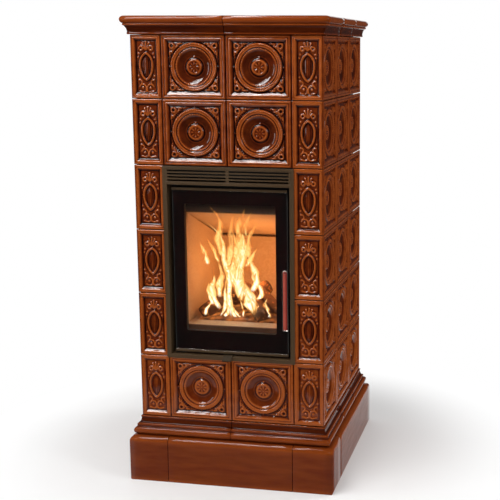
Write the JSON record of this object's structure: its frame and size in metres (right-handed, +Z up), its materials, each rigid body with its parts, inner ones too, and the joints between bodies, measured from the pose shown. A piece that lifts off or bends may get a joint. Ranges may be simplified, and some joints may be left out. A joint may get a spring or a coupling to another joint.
{
  "type": "tiled stove",
  "caption": "Free-standing wood stove clad in glossy brown relief tiles, with moulded cornice and plinth and a steel-framed glass door.",
  "frame": {"origin": "on the floor, in the middle of the plinth's plan", "axes": "+Z up, -Y towards the door's side, +X to the right as seen from the front"},
  "size_m": [0.728, 0.736, 1.611],
  "materials": {
    "glaze_tiles": "glossy amber-brown glaze, dark where it pools in the relief",
    "glaze_trim": "glossy amber-brown glaze on smooth mouldings",
    "bronze_steel": "satin bronze-grey stove paint",
    "black_iron": "matt black heat-resistant paint",
    "bare_steel": "plain steel",
    "printed_glass": "ceramic glass, printed black round a clear window",
    "chamotte": "matt firebrick",
    "concrete": "rough cast slab",
    "rope": "braided glass-fibre rope",
    "handle_finish": "bright steel bar with a red-brown inlay"
  },
  "bodies": {
    "root": {"tile_course_left_1": "glaze_tiles", "tile_course_right_1": "glaze_tiles", "tile_course_left_2": "glaze_tiles", "tile_course_right_2": "glaze_tiles", "tile_course_left_3": "glaze_tiles", "tile_course_right_3": "glaze_tiles", "tile_course_left_4": "glaze_tiles", "tile_course_right_4": "glaze_tiles", "tile_course_left_5": "glaze_tiles", "tile_course_right_5": "glaze_tiles", "tile_course_left_6": "glaze_tiles", "tile_course_right_6": "glaze_tiles", "front_tile_left_1": "glaze_tiles", "front_tile_right_1": "glaze_tiles", "front_tile_left_2": "glaze_tiles", "front_tile_right_2": "glaze_tiles", "front_tile_left_6": "glaze_tiles", "front_tile_right_6": "glaze_tiles", "cornice_front_left": "glaze_trim", "cornice_front_right": "glaze_trim", "cornice_rear_left": "glaze_trim", "cornice_rear_right": "glaze_trim", "base_moulding_front_left": "glaze_trim", "base_moulding_front_right": "glaze_trim", "base_moulding_rear_left": "glaze_trim", "base_moulding_rear_right": "glaze_trim", "plinth_corner_left": "glaze_trim", "plinth_corner_right": "glaze_trim", "plinth_side_left": "glaze_trim", "plinth_side_right": "glaze_trim", "plinth_front": "glaze_trim", "floor_slab": "concrete", "top_slab": "concrete", "rear_panel": "bronze_steel", "door_surround": "bronze_steel", "air_grille": "bronze_steel", "lintel": "bare_steel", "hinge_bottom": "bare_steel", "hinge_top": "bare_steel", "firebox_shell": "black_iron", "hearth_block": "chamotte", "grate": "black_iron", "ash_pan": "bare_steel", "side_brick_left": "chamotte", "side_brick_right": "chamotte", "back_brick": "chamotte", "baffle": "chamotte", "ember_guard": "black_iron", "firebox_stand": "black_iron", "flue_pipe": "black_iron", "flue_rosette": "black_iron"},
    "door": {"door_frame": "black_iron", "door_glass": "printed_glass", "door_trim_bottom": "bronze_steel", "door_trim_top": "bronze_steel", "door_gasket": "rope"},
    "handle": {"handle_grip": "handle_finish", "latch_spindle": "bare_steel"},
    "air_control": {"air_lever": "bronze_steel", "air_slide": "bare_steel"}
  },
  "joints": [
    {"name": "door_hinge", "type": "hinge", "parent": "root", "child": "door", "pos_m": [-0.188, -0.3067, 0.7545], "axis": [0, 0, -1], "range_deg": [0, 100]},
    {"name": "handle_turn", "type": "hinge", "parent": "door", "child": "handle", "pos_m": [0.1955, -0.31, 0.7625], "axis": [0, 1, 0], "range_deg": [0, 75]},
    {"name": "air_slide_travel", "type": "slide", "parent": "root", "child": "air_control", "axis": [1, 0, 0], "range_m": [-0.03, 0.03]}
  ]
}
